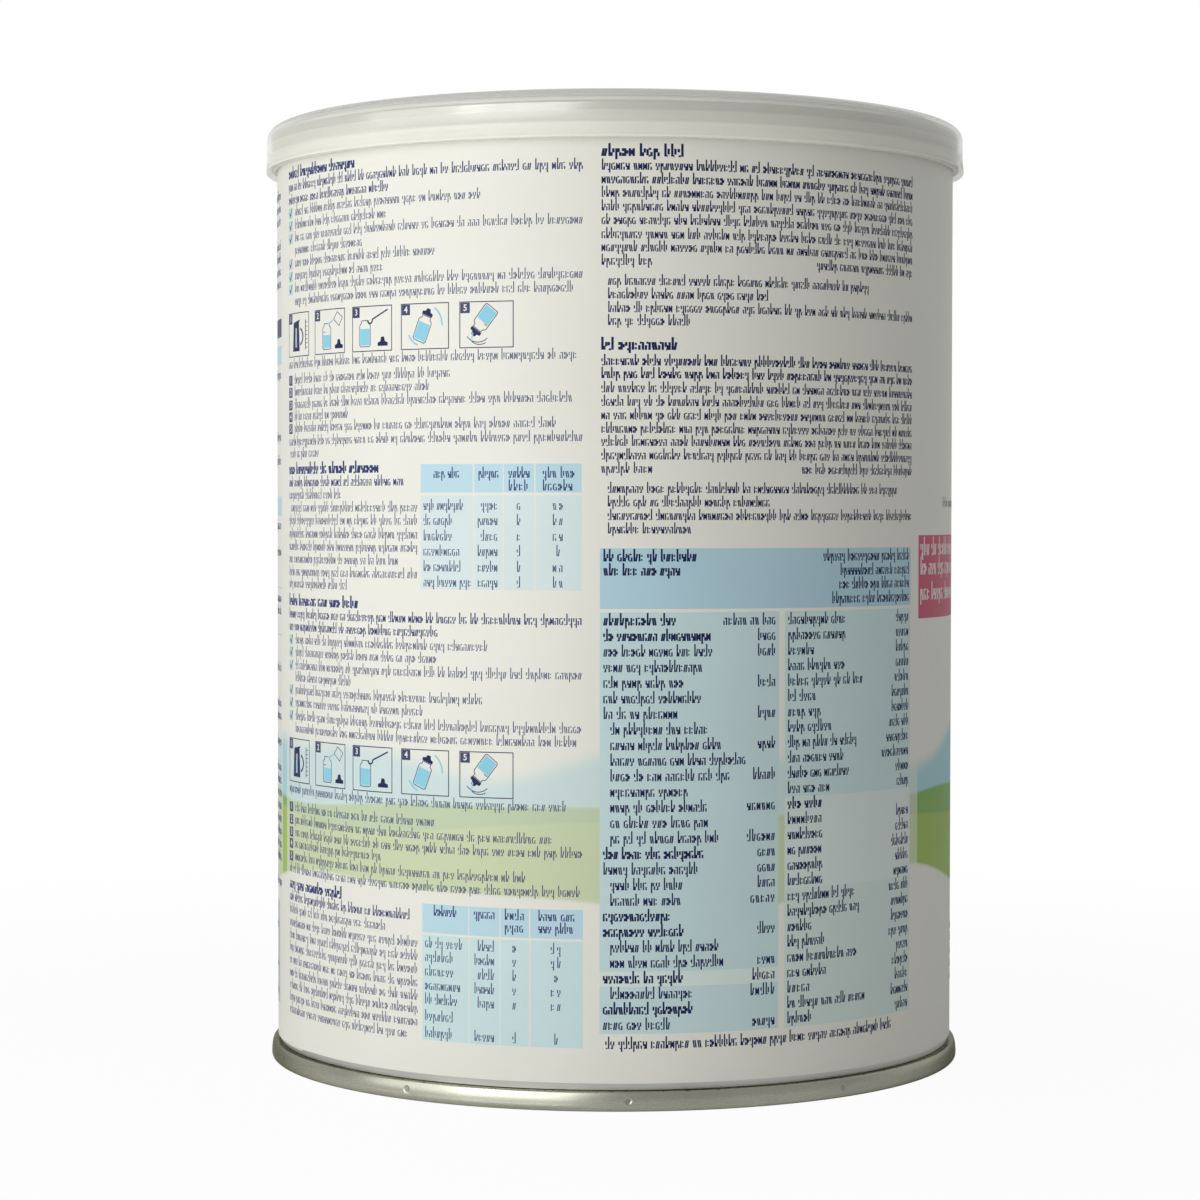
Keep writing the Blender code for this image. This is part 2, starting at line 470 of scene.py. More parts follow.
def addSeamMarks(tree, shader, marks, seamRadius, tone, normal):
    angle, up = angleAndHeight(tree)
    step = 2 * math.pi / marks["dimples"]
    shifted = addMath(tree, "SUBTRACT", angle, math.radians(marks["phase"]) - step / 2)
    share = addMath(tree, "FLOORED_MODULO", shifted, step)
    across = addMath(tree, "MULTIPLY", addMath(tree, "SUBTRACT", share, step / 2), seamRadius)
    along = addMath(tree, "SUBTRACT", up, marks["height"])
    squares = [addMath(tree, "MULTIPLY", length, length) for length in (across, along)]
    away = addMath(tree, "SQRT", addMath(tree, "ADD", *squares))
    radius = marks["radius"]
    hollow = rangeOf(tree, away, radius * marks["bottom"], radius, 0.0, 1.0, True)
    addBump(tree, shader, hollow, marks["depth"], marks["strength"], normal)
    # Painted shade: each dimple is darkened towards its middle.
    paintedDimpleShade = rangeOf(tree, away, radius * marks["paintedDimpleShadeShare"], radius, marks["paintedDimpleShade"], 1.0, True)
    tone = mixColours(tree, 1.0, tone, paintedDimpleShade, "MULTIPLY")
    # Dark specks in the groove above the seam: partly grime, partly painted shade in the groove.
    speck = addNoise(tree, **marks["speckNoise"])
    near = rangeOf(tree, up, *marks["grimeAndShadeHeights"], 0.0, 1.0, True)
    outside = rangeOf(tree, distanceFromAxis(tree), *marks["grimeAndShadeRadii"], 0.0, 1.0)
    grimeAndShade = rangeOf(tree, speck, *marks["specks"], 0.0, marks["grimeAndShadeShare"], True)
    grimeAndShade = addMath(tree, "MULTIPLY", grimeAndShade, addMath(tree, "MULTIPLY", near, outside))
    return mixColours(tree, grimeAndShade, tone, marks["grimeAndShade"])


def makeTinplate(name, look, finish, marks=None, seamRadius=0):
    material, tree, shader = startMaterial(name)
    shader.inputs["Metallic"].default_value = 1.0
    shader.inputs["Specular Tint"].default_value = (*finish["edge"], 1.0)
    grain = addNoise(tree, **look["grainNoise"])
    tone = addCloud(tree, finish["colour"], look["cloudNoise"], look["cloudShades"])
    rough, spread = finish["roughness"], finish["grain"]
    linkRoughness(tree, shader, grain, rough - spread, rough + spread)
    normal = addBump(tree, shader, grain, look["grainDepth"], finish["bump"])
    if marks:
        tone = addSeamMarks(tree, shader, marks, seamRadius, tone, normal)
    tree.links.new(tone, shader.inputs["Base Color"])
    return material


def makeTin(size, look, marks):
    seamed = makeTinplate("seamedTinplate", look, look["base"], marks, size["baseRadius"])
    bright = makeTinplate("brightTinplate", look, look["top"])
    wallTin = makeTinplate("wallTinplate", look, look["wall"])
    base = turnProfile(endSection(size, size["baseRadius"], size["baseSteps"]), size["facets"]["base"])
    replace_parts(makePiece("baseEnd", base, seamed), "base_end")
    # The upper end is the same form the other way up, with a plain panel.
    section = [(r, size["tinHeight"] - z) for r, z in endSection(size, size["topRadius"], ())]
    top = turnProfile(section[::-1], size["facets"]["top"])
    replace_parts(makePiece("topEnd", top, bright), "top_end")
    can = turnProfile(bodySection(size), size["facets"]["body"])
    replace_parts(makePiece("canBody", can, wallTin), "tin_body")
    print("tin ready")


makeTin(endShape, tinplateLook, seamMarksAndShade)


labelSheet = {
    "radius": 63.7,
    "paper": 0.2,
    "bottom": 4.35,
    "height": 162.6,
    "skew": 0.42,
    "start": -62.8,
    "overlap": 10.7,
    "ramp": 4.5,
    "lift": 0.3,
    "columns": 840,
    "rows": 4,
}

# The veil pales the waves of colour where the rows of print stand on them.
paperLook = {
    "white": (0.80, 0.795, 0.72),
    "blue": (0.372, 0.64, 0.69),
    "deepGreen": (0.205, 0.43, 0.082),
    "paleGreen": (0.337, 0.505, 0.082),
    "veil": 0.53,
    "veilCentres": (-5.4, -137.35),
    "veilHalf": 64.5,
    "shine": 0.45,
    "roughness": (0.40, 0.52),
    "cloudNoise": {"scale": 60, "detail": 4.0, "roughness": 0.6},
    "cloudShades": (0.985, 1.01),
    "fibreNoise": {"scale": 2600, "detail": 3.0, "roughness": 0.6},
    "fibreBump": (0.012, 0.5),
    "swellNoise": {"scale": 28, "detail": 1.0, "roughness": 0.4, "stretch": (1, 1, 0.5)},
    "swellBump": (0.6, 0.25),
}

# Each soft wave is a level with two swells (height, times round, phase), and the blur of its edge.
waveEdges = {
    "haze": {"level": 59.5, "swells": ((2.2, 5, 20), (1.2, 9, 75)), "blur": 2.2},
    "far": {"level": 51.2, "swells": ((1.1, 4, 140), (0.5, 7, 10)), "blur": 0.35},
    "near": {"level": 48.4, "swells": ((1.5, 3, 35), (0.6, 5, 160)), "blur": 0.35},
    "foot": {"level": 36.2, "swells": ((2.2, 4, 250), (1.3, 6, 120)), "blur": 0.45},
}


def waveMask(tree, angle, height, wave):
    # 1 above the wave's edge and 0 below it.
    level = wave["level"]
    for size, times, phase in wave["swells"]:
        swing = addMath(tree, "SINE", addMath(tree, "MULTIPLY_ADD", angle, times, math.radians(phase)))
        level = addMath(tree, "MULTIPLY_ADD", swing, size, level)
    above = addMath(tree, "SUBTRACT", height, level)
    return rangeOf(tree, above, -wave["blur"], wave["blur"], 0.0, 1.0, True)


def makePrintedPaper(look, waves):
    material, tree, shader = startMaterial("printedPaper")
    angle, height = angleAndHeight(tree)
    white = look["white"]
    tone = white
    # From the foot up: bare paper, pale green, deep green, blue haze, bare paper.
    for wave, colour in (("foot", "paleGreen"), ("near", "deepGreen"), ("far", "blue"), ("haze", "white")):
        tone = mixColours(tree, waveMask(tree, angle, height, waves[wave]), tone, look[colour])
    veil = 0.0
    edge = math.cos(math.radians(look["veilHalf"]))
    for centre in look["veilCentres"]:
        turned = addMath(tree, "SUBTRACT", angle, math.radians(centre))
        inside = addMath(tree, "GREATER_THAN", addMath(tree, "COSINE", turned), edge)
        veil = addMath(tree, "ADD", veil, inside, clamp=True)
    tone = mixColours(tree, addMath(tree, "MULTIPLY", veil, look["veil"]), tone, white)
    tone = addCloud(tree, tone, look["cloudNoise"], look["cloudShades"])
    tree.links.new(tone, shader.inputs["Base Color"])
    fibre = addNoise(tree, **look["fibreNoise"])
    linkRoughness(tree, shader, fibre, *look["roughness"])
    normal = addBump(tree, shader, fibre, *look["fibreBump"])
    addBump(tree, shader, addNoise(tree, **look["swellNoise"]), *look["swellBump"], normal)
    shader.inputs["Specular IOR Level"].default_value = look["shine"]
    return material


def makeLabelSheet(size, look, waves):
    paper = makePrintedPaper(look, waves)
    turn = 360 + size["overlap"]
    sheet = bmesh.new()
    bmesh.ops.create_grid(sheet, x_segments=size["columns"], y_segments=size["rows"], size=0.5)
    bmesh.ops.solidify(sheet, geom=sheet.faces[:], thickness=1.0)
    depths = [v.co.z for v in sheet.verts]
    lowest = min(depths)
    deep = max(depths) - lowest
    for vert in sheet.verts:
        share = vert.co.x + 0.5
        depth = (vert.co.z - lowest) / deep
        turned = share * turn
        climb = smoothShare((turned - 360 + size["ramp"]) / size["ramp"])
        radius = size["radius"] + (depth - 1) * size["paper"] + climb * size["lift"]
        angle = math.radians(size["start"] - turned)
        level = size["bottom"] + (vert.co.y + 0.5) * size["height"] + share * size["skew"]
        vert.co = Vector((radius * math.sin(angle), -radius * math.cos(angle), level)) * mm
    bmesh.ops.recalc_face_normals(sheet, faces=sheet.faces)
    piece = makePiece("labelSheet", sheet, paper)
    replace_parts(piece, "label")
    print("label sheet ready")


makeLabelSheet(labelSheet, paperLook, waveEdges)


inkLooks = {
    "navyInk": {"colour": (0.010, 0.015, 0.085), "roughness": 0.45},
    "listInk": {"colour": (0.027, 0.036, 0.165), "roughness": 0.45},
    "greyInk": {"colour": (0.17, 0.17, 0.18), "roughness": 0.42},
    "whiteInk": {"colour": (0.78, 0.78, 0.74), "roughness": 0.45},
    "skyInk": {"colour": (0.26, 0.60, 0.74), "roughness": 0.45},
}
inkShine = 0.22

# Washes of ink over the paper, as shares of the paper's own colour.
washShares = {
    "crimsonWash": (0.696, 0.081, 0.176),
    "headWash": (0.60, 0.865, 1.07),
    "upperBodyWash": (0.815, 0.955, 1.045),
    "lowerBodyWash": (0.73, 0.942, 1.044),
    "wideHeadWash": (0.55, 0.80, 1.0),
    "wideLeftWash": (0.70, 0.895, 1.0),
    "wideRightWash": (0.726, 0.93, 1.0),
    "palePatchWash": (0.86, 0.986, 1.03),
    "lowPatchWash": (0.80, 0.945, 0.985),
    "tickWash": (0.62, 0.80, 0.86),
    "navyWash": (0.036, 0.044, 0.17),
    "greyWash": (0.62, 0.66, 0.72),
}
washFinish = {"roughness": 0.45, "shine": 0.45, "cloudShades": (0.98, 1.02)}

# Heights of the print over the paper. Marks stand over the fields, and a few stand over other marks.
printDepth = {"under": -0.02, "field": 0.006, "mark": 0.013, "over": 0.02}


def makeInk(name, look):
    # The strokes are finer than any cloud in their ink, so each ink is one colour.
    material, _, shader = startMaterial(name)
    shader.inputs["Base Color"].default_value = (*look["colour"], 1.0)
    shader.inputs["Roughness"].default_value = look["roughness"]
    shader.inputs["Specular IOR Level"].default_value = inkShine
    return material


def makeWash(name, shares, paper, finish):
    # A printed tint keeps the paper's own cloud.
    material, tree, shader = startMaterial(name)
    colour = tuple(min(share * base, 1.0) for share, base in zip(shares, paper["white"]))
    tone = addCloud(tree, colour, paper["cloudNoise"], finish["cloudShades"])
    tree.links.new(tone, shader.inputs["Base Color"])
    shader.inputs["Roughness"].default_value = finish["roughness"]
    shader.inputs["Specular IOR Level"].default_value = finish["shine"]
    return material


inks = {name: makeInk(name, look) for name, look in inkLooks.items()}
inks.update({name: makeWash(name, shares, paperLook, washFinish) for name, shares in washShares.items()})

sheets = {}  # each flat print, by name: its bmesh, its ink and its height in printDepth


def sheetFor(name, ink, level):
    if name not in sheets:
        sheets[name] = (bmesh.new(), ink, level)
    return sheets[name][0]


def addStroke(flat, x0, y0, x1, y1, thick):
    along = Vector((x1 - x0, y1 - y0, 0))
    side = Vector((-along.y, along.x, 0)).normalized() * (thick / 2)
    start, end = Vector((x0, y0, 0)), Vector((x1, y1, 0))
    corners = (start - side, end - side, end + side, start + side)
    flat.faces.new([flat.verts.new(corner) for corner in corners])


def addField(flat, x0, x1, y0, y1, pitch=1.2):
    # A filled box, cut into upright strips so that it can follow the tin.
    strips = max(1, math.ceil((x1 - x0) / pitch))
    place = Matrix.Translation(((x0 + x1) / 2, (y0 + y1) / 2, 0)) @ Matrix.Diagonal((x1 - x0, y1 - y0, 1, 1))
    bmesh.ops.create_grid(flat, x_segments=strips, y_segments=1, size=0.5, matrix=place)


def printField(name, ink, x0, x1, y0, y1):
    addField(sheetFor(name, ink, "field"), x0, x1, y0, y1)


def whitePrint():
    # The one print in white, on the dark fields.
    return sheetFor("figures", "whiteInk", "mark")


def addOutline(flat, x0, x1, y0, y1, line):
    addField(flat, x0, x1, y1 - line, y1)
    addField(flat, x0, x1, y0, y0 + line)
    addField(flat, x0, x0 + line, y0 + line, y1 - line)
    addField(flat, x1 - line, x1, y0 + line, y1 - line)


def joinPart(flat, part):
    # Adds one shape to a print and frees it.
    mesh = bpy.data.meshes.new("flatPart")
    part.to_mesh(mesh)
    part.free()
    flat.from_mesh(mesh)
    bpy.data.meshes.remove(mesh)


def addPlate(flat, points, middle=(0, 0), turn=0, line=0):
    # A flat shape from its corners, turned about its middle. With a line, only its rim is kept.
    part = bmesh.new()
    face = part.faces.new([part.verts.new((x, y, 0)) for x, y in points])
    if line:
        part.normal_update()
        bmesh.ops.inset_region(part, faces=[face], thickness=line, use_boundary=True, use_even_offset=True)
        bmesh.ops.delete(part, geom=[face], context="FACES")
    spin = Matrix.Rotation(math.radians(turn), 4, "Z")
    bmesh.ops.transform(part, matrix=Matrix.Translation((*middle, 0)) @ spin, verts=part.verts)
    joinPart(flat, part)


def sliceUpright(flat, pitch):
    # Cuts a wide flat shape into strips so that it can bend round the tin.
    x = min(v.co.x for v in flat.verts) + pitch
    last = max(v.co.x for v in flat.verts)
    while x < last:
        parts = flat.verts[:] + flat.edges[:] + flat.faces[:]
        bmesh.ops.bisect_plane(flat, geom=parts, dist=0.0001, plane_co=(x, 0, 0), plane_no=(1, 0, 0))
        x += pitch


def addArc(flat, x, y, radius, start, end, line, steps=10):
    # A bent stroke: a short edge spun about the arc's middle.
    part = bmesh.new()
    out = Vector((math.cos(math.radians(start)), math.sin(math.radians(start)), 0))
    ends = [part.verts.new(out * (radius + side)) for side in (-line / 2, line / 2)]
    edge = part.edges.new(ends)
    turn = math.radians(end - start)
    bmesh.ops.spin(part, geom=[*ends, edge], cent=(0, 0, 0), axis=(0, 0, 1), angle=turn, steps=steps)
    bmesh.ops.recalc_face_normals(part, faces=part.faces)
    part.faces.ensure_lookup_table()
    if part.faces[0].normal.z < 0:
        bmesh.ops.reverse_faces(part, faces=part.faces)
    bmesh.ops.translate(part, verts=part.verts, vec=(x, y, 0))
    joinPart(flat, part)


digitMeshes = {}
digitScale = 1.35  # size of the font that makes figures 1 mm tall


def addDigit(flat, digit, x, y, tall):
    # A plain figure, centred on its place.
    if digit not in digitMeshes:
        curve = bpy.data.curves.new("figure", "FONT")
        curve.body = digit
        curve.align_x = "CENTER"
        curve.align_y = "CENTER"
        curve.offset = 0.02
        curve.resolution_u = 3
        holder = bpy.data.objects.new("figure", curve)
        scene.collection.objects.link(holder)
        digitMeshes[digit] = bpy.data.meshes.new_from_object(holder)
        bpy.data.objects.remove(holder)
        bpy.data.curves.remove(curve)
    first = len(flat.verts)
    flat.from_mesh(digitMeshes[digit])
    flat.verts.ensure_lookup_table()
    size = tall * digitScale
    place = Matrix.Translation((x, y, 0)) @ Matrix.Diagonal((size, size, 1, 1))
    bmesh.ops.transform(flat, matrix=place, verts=flat.verts[first:])


def liftAt(degrees):
    # How far the print stands out where the sheet climbs over its own end.
    foot = labelSheet["start"] + labelSheet["ramp"]
    if degrees < labelSheet["start"] - labelSheet["overlap"]:
        return 0.0
    return labelSheet["lift"] * smoothShare((foot - degrees) / labelSheet["ramp"])


def wrapSheets():
    # Gives each flat print its thickness, lays it round the label and makes it a piece.
    for name, (flat, ink, level) in sheets.items():
        flat.normal_update()
        bmesh.ops.solidify(flat, geom=flat.faces[:], thickness=1.0)
        heights = [v.co.z for v in flat.verts]
        middle = (min(heights) + max(heights)) / 2
        for vert in flat.verts:
            depth = printDepth[level] if vert.co.z > middle else printDepth["under"]
            angle = vert.co.x / labelSheet["radius"]
            radius = labelSheet["radius"] + liftAt(math.degrees(angle)) + depth
            vert.co = Vector((radius * math.sin(angle), -radius * math.cos(angle), vert.co.y)) * mm
        bmesh.ops.recalc_face_normals(flat, faces=flat.faces)
        print("print", name, len(flat.faces), "faces")
        makePiece(name, flat, inks[ink])


# Marks that fill the rows. Each is a few strokes (x, y, x, y), in widths and heights of its style.
lowMarks = (
    ((0.1, 0, 0.1, 1), (0.85, 0, 0.85, 0.45), (0.45, 0.95, 0.95, 0.95)),
    ((0.12, 0.5, 0.12, 1), (0.5, 0, 0.5, 0.5), (0.88, 0.45, 0.88, 1), (0.1, 0.05, 0.35, 0.05)),
    ((0.1, 0.1, 0.1, 0.9), (0.88, 0, 0.88, 0.55), (0.3, 0.94, 0.85, 0.94), (0.3, 0.06, 0.6, 0.06)),
    ((0.15, 0, 0.15, 1), (0.5, 0.22, 0.95, 0.22), (0.5, 0.75, 0.95, 0.75)),
    ((0.85, 0, 0.85, 1), (0.12, 0, 0.12, 0.6), (0.2, 0.92, 0.6, 0.92)),
    ((0.08, 0, 0.38, 1), (0.6, 0, 0.92, 1)),
    ((0.38, 0, 0.08, 1), (0.92, 0, 0.6, 1)),
    ((0.1, 0, 0.1, 0.4), (0.1, 0.62, 0.1, 1), (0.55, 0, 0.55, 1), (0.95, 0.3, 0.95, 0.75)),
    ((0.12, 0.4, 0.12, 1), (0.5, 0, 0.5, 0.62), (0.9, 0, 0.9, 1), (0.2, 0.06, 0.4, 0.06)),
    ((0.1, 0, 0.1, 1), (0.48, 0.2, 0.48, 0.8), (0.88, 0, 0.88, 1)),
)
tallMarks = (
    ((0.15, 0, 0.15, 1.66), (0.55, 0, 0.55, 0.5), (0.92, 0.45, 0.92, 1)),
    ((0.15, 0, 0.15, 1.66), (0.8, 0.25, 0.8, 1), (0.4, 0.05, 0.6, 0.05)),
    ((0.85, 0, 0.85, 1.66), (0.1, 0.05, 0.55, 0.05), (0.1, 0.55, 0.1, 1)),
    ((0.2, 0, 0.2, 1.66), (0.6, 0, 0.95, 1)),
)
deepMarks = (
    ((0.85, -0.42, 0.85, 1), (0.15, 0.5, 0.15, 1), (0.3, 0.05, 0.6, 0.05)),
    ((0.15, -0.42, 0.15, 1), (0.6, 0.5, 0.6, 1), (0.95, 0, 0.95, 0.5)),
)
rowHabits = {
    "groups": (2, 2, 3, 3, 3, 4, 4, 5, 5, 6, 6, 7, 8, 9, 10),  # marks in a group
    "lastGroup": 3.2,  # a rest of the row shorter than this, in marks, joins the group before it
    "leastRest": (0.5, 1.5),  # and one shorter than this stays empty, in a bare row and in a begun one
    "tall": 0.24,  # share of tall marks
    "tallFirst": 0.4,  # and their share at the start of a group
    "deepFrom": 0.9,  # a draw from 0 to 1 over this gives a deep mark
    "levelThickness": 0.85,  # of a level stroke, beside an upright one
}

markStyles = {
    "plain": {"advance": 0.77, "width": 0.56, "height": 1.14, "stroke": 0.16, "space": 0.52},
    "strong": {"advance": 0.80, "width": 0.60, "height": 1.16, "stroke": 0.218, "space": 0.54},
    "prose": {"advance": 0.77, "width": 0.57, "height": 1.14, "stroke": 0.22, "space": 0.52},
    "proseStrong": {"advance": 0.81, "width": 0.61, "height": 1.16, "stroke": 0.26, "space": 0.52},
    "heading": {"advance": 1.12, "width": 0.84, "height": 1.32, "stroke": 0.42, "space": 0.66},
    "table": {"advance": 0.76, "width": 0.56, "height": 1.16, "stroke": 0.178, "space": 0.48},
    "wide": {"advance": 0.84, "width": 0.62, "height": 1.27, "stroke": 0.25, "space": 0.54},
    "wideStrong": {"advance": 0.88, "width": 0.66, "height": 1.29, "stroke": 0.32, "space": 0.54},
    "banner": {"advance": 1.45, "width": 1.05, "height": 2.0, "stroke": 0.42, "space": 0.9},
}


def addMark(flat, strokes, x, y, style):
    wide, tall = style["width"], style["height"]
    for x0, y0, x1, y1 in strokes:
        thick = style["stroke"] * (rowHabits["levelThickness"] if y0 == y1 else 1)
        addStroke(flat, x + x0 * wide, y + y0 * tall, x + x1 * wide, y + y1 * tall, thick)


def addRow(flat, styleName, start, end, middle, dice):
    # Groups of marks between two ends, with the last one cut or grown to fill the row.
    style = markStyles[styleName]
    advance, space = style["advance"], style["space"]
    groups = []
    left = end - start
    while left > advance * rowHabits["leastRest"][bool(groups)]:
        count = dice.choice(rowHabits["groups"])
        if left - count * advance < advance * rowHabits["lastGroup"]:
            count = max(1, round(left / advance))
        groups.append(count)
        left -= count * advance + space
    used = sum(groups) * advance + (len(groups) - 1) * space - (advance - style["width"])
    stretch = (end - start) / used
    x = start
    base = middle - style["height"] / 2
    for count in groups:
        for i in range(count):
            roll = dice.random()
            tall = roll < rowHabits["tall"] or (i == 0 and roll < rowHabits["tallFirst"])
            marks = tallMarks if tall else deepMarks if roll > rowHabits["deepFrom"] else lowMarks
            addMark(flat, dice.choice(marks), x, base, style)
            x += advance * stretch
        x += space * stretch


listRows = (
    # style, height, start, end
    ("heading", 163.55, -75.6, -51.2),
    ("strong", 161.17, -75.6, -5.5),
    ("strong", 158.83, -75.6, -42.6),
    ("tick", 156.56, -72.1, -23.6),
    ("tick", 154.2, -72.1, -43.0),
    ("tick", 151.9, -72.1, -5.5),
    ("plain", 149.6, -72.1, -49.1),
    ("tick", 147.3, -72.1, -32.5),
    ("tick", 145.0, -72.1, -43.9),
    ("tick", 142.7, -72.1, -5.5),
    ("plain", 140.4, -72.1, -7.1),
    ("plain", 129.0, -75.6, -6.5),
    ("1", 126.2, -72.4, -29.4),
    ("2", 124.0, -72.4, -33.7),
    ("3", 121.7, -72.4, -7.3),
    ("4", 119.55, -72.4, -53.1),
    ("5", 117.4, -72.4, -10.1),
    ("plain", 115.0, -75.5, -5.5),
    ("plain", 112.8, -74.9, -62.6),
    ("heading", 109.9, -75.6, -45.0),
    ("strong", 107.55, -75.6, -39.1),
    ("plain", 105.3, -75.6, -55.1),
    ("plain", 103.0, -74.4, -36.1),
    ("plain", 100.7, -75.6, -36.1),
    ("plain", 98.3, -75.6, -36.1),
    ("plain", 96.0, -75.6, -36.1),
    ("plain", 93.7, -75.6, -40.4),
    ("plain", 91.4, -75.6, -36.1),
    ("plain", 89.2, -75.6, -53.4),
    ("heading", 86.05, -75.6, -50.3),
    ("strong", 83.7, -75.6, -5.6),
    ("strong", 81.4, -75.6, -31.9),
    ("tick", 79.05, -72.1, -22.3),
    ("tick", 76.8, -72.1, -32.2),
    ("tick", 74.4, -72.1, -5.6),
    ("plain", 72.2, -72.1, -52.3),
    ("tick", 69.9, -72.1, -23.2),
    ("tick", 67.6, -72.1, -35.0),
    ("tick", 65.2, -72.1, -5.7),
    ("plain", 62.9, -72.1, -6.5),
    ("plain", 51.8, -75.6, -8.3),
    ("1", 48.5, -72.4, -32.6),
    ("2", 46.2, -72.4, -10.7),
    ("3", 43.9, -72.4, -5.5),
    ("4", 41.8, -72.4, -44.5),
    ("5", 39.5, -72.4, -15.4),
    ("plain", 37.2, -75.6, -5.9),
    ("heading", 34.3, -75.6, -55.1),
    ("strong", 32.0, -75.6, -37.8),
    ("plain", 29.7, -75.6, -43.4),
    ("plain", 27.3, -75.5, -36.1),
    ("plain", 25.0, -75.6, -36.1),
    ("plain", 22.7, -75.6, -36.1),
    ("plain", 20.4, -75.6, -36.1),
    ("plain", 18.05, -75.6, -36.1),
    ("plain", 15.8, -75.6, -36.1),
    ("plain", 13.55, -75.6, -36.1),
    ("plain", 11.3, -75.6, -38.3),
)

proseRows = (
    ("heading", 163.4, -2.2, 11.7),
    ("proseStrong", 161.0, -2.2, 62.8),
    ("proseStrong", 158.7, -2.2, 62.8),
    ("prose", 156.4, -2.2, 62.8),
    ("prose", 154.1, -2.2, 62.8),
    ("prose", 151.8, -2.2, 62.8),
    ("prose", 149.4, -2.2, 62.8),
    ("prose", 147.2, -2.2, 62.8),
    ("prose", 144.9, -2.2, 6.3),
    ("prose", 144.9, 37.1, 62.8),
    ("prose", 141.5, -1.1, 49.3),
    ("prose", 139.2, -1.1, 27.1),
    ("prose", 136.9, -1.1, 62.8),
    ("prose", 134.7, -1.1, 12.9),
    ("heading", 130.6, -2.2, 10.6),
    ("proseStrong", 127.9, -2.2, 62.8),
    ("proseStrong", 125.7, -2.2, 62.8),
    ("prose", 123.3, -2.2, 62.8),
    ("prose", 121.0, -2.2, 62.8),
    ("prose", 118.7, -2.2, 62.8),
    ("prose", 116.4, -2.2, 62.8),
    ("prose", 114.2, -2.2, 62.8),
    ("prose", 111.9, -2.2, 62.8),
    ("prose", 109.6, -2.2, 6.4),
    ("prose", 109.6, 34.0, 62.8),
    ("prose", 106.2, -1.1, 57.7),
    ("prose", 103.9, -1.1, 27.5),
    ("prose", 101.6, -1.1, 62.8),
    ("prose", 99.3, -1.1, 13.1),
)


# The small boxes at the left of the rows, measured from that edge and the row's middle.
rowBoxes = {
    "left": -75.7,
    "tick": (0, 2.1, -0.9, 1.0),
    "tickStrokes": ((0.45, 0.15, 1.0, -0.55, 0.3), (0.9, -0.6, 2.0, 1.0, 0.26)),
    "number": (0, 2.0, -0.85, 0.95),
    "figure": (1.05, 0.05, 1.25),
}


def printRows(rows, shift, name, ink, seed):
    dice = random.Random(seed)
    marks = sheetFor(name, ink, "mark")
    x = shift + rowBoxes["left"]
    for kind, height, start, end in rows:
        style = kind if kind in markStyles else "plain"
        addRow(marks, style, start + shift, end + shift, height, dice)
        if kind == "tick":
            x0, x1, y0, y1 = rowBoxes["tick"]
            printField("tickBoxes", "tickWash", x + x0, x + x1, height + y0, height + y1)
            for x0, y0, x1, y1, thick in rowBoxes["tickStrokes"]:
                addStroke(marks, x + x0, height + y0, x + x1, height + y1, thick)
        elif kind.isdigit():
            x0, x1, y0, y1 = rowBoxes["number"]
            printField("numberBoxes", "navyWash", x + x0, x + x1, height + y0, height + y1)
            right, up, tall = rowBoxes["figure"]
            addDigit(whitePrint(), kind, x + right, height + up, tall)


def bothSides(half):
    # A whole outline from its right half, given from the foot up.
    return half + [(-x, y) for x, y in reversed(half)]


# The feeding bottle of the steps, standing on the origin, and its loose collar.
bottle = {
    "outline": bothSides([(1.15, 0), (1.45, 0.3), (1.45, 3.7), (1.2, 4.1), (0.95, 4.2), (0.95, 4.7)]),
    "cap": bothSides([(1.1, 4.75), (1.1, 5.3), (0.55, 5.45), (0.35, 6.0)]),
    "collar": bothSides([(1.2, 0), (1.2, 0.6), (0.55, 0.8), (0.35, 1.6)]),
    "line": 0.13,
    "fill": (1.2, 0.3),  # half its width, and its foot
    # The lines of its scale: both ends, heights and thickness.
    "scale": (-1.2, -0.45, (0.9, 1.65, 2.4, 3.15), 0.11),
}


def addBottle(lines, fills, x, y, turn, full, capped=True):
    # Full is the height of what is in it.
    addPlate(lines, bottle["outline"], (x, y), turn, bottle["line"])
    half, foot = bottle["fill"]
    addPlate(fills, bothSides([(half, foot), (half, full)]), (x, y), turn)
    left, right, heights, thick = bottle["scale"]
    spin = Matrix.Rotation(math.radians(turn), 2)
    for height in heights:
        start, end = [spin @ Vector((side, height)) + Vector((x, y)) for side in (left, right)]
        addStroke(lines, *start, *end, thick)
    if capped:
        addPlate(lines, bottle["cap"], (x, y), turn)


def drawKettle(lines, fills, x, y):
    addPlate(lines, [(-1.7, 0), (1.7, 0), (1.35, 5.2), (1.9, 5.7), (-1.35, 5.2)], (x - 0.6, y + 1.0))
    addArc(lines, x + 1.0, y + 3.6, 1.5, -75, 75, 0.36)
    addField(whitePrint(), x - 1.0, x - 0.3, y + 1.7, y + 5.2)
    addPlate(fills, [(-0.25, 0), (0.25, 0), (0.25, 2.3), (-0.25, 2.3)], (x - 0.65, y + 1.8))
    addField(lines, x + 3.4, x + 3.6, y + 1.2, y + 6.6)
    for i in range(7):
        addStroke(lines, x + 3.6, y + 1.6 + i * 0.75, x + 4.2, y + 1.6 + i * 0.75, 0.11)


def drawPouring(lines, fills, x, y):
    addBottle(lines, fills, x - 0.7, y + 0.8, 0, 2.6, False)
    addPlate(lines, [(-0.9, -0.6), (1.3, -0.9), (1.5, 1.0), (-0.5, 1.2)], (x + 2.6, y + 6.2), -28, 0.13)
    addStroke(fills, x + 1.4, y + 5.9, x - 0.4, y + 5.3, 0.3)
    addPlate(lines, bottle["collar"], (x + 3.2, y + 0.9))


def drawScoop(lines, fills, x, y):
    addBottle(lines, fills, x - 1.6, y + 0.8, 0, 3.2, False)
    addStroke(lines, x + 0.3, y + 5.6, x + 4.0, y + 7.2, 0.26)
    addArc(lines, x - 0.3, y + 5.5, 0.6, 180, 380, 0.3)
    addPlate(lines, bottle["collar"], (x + 2.8, y + 0.9))


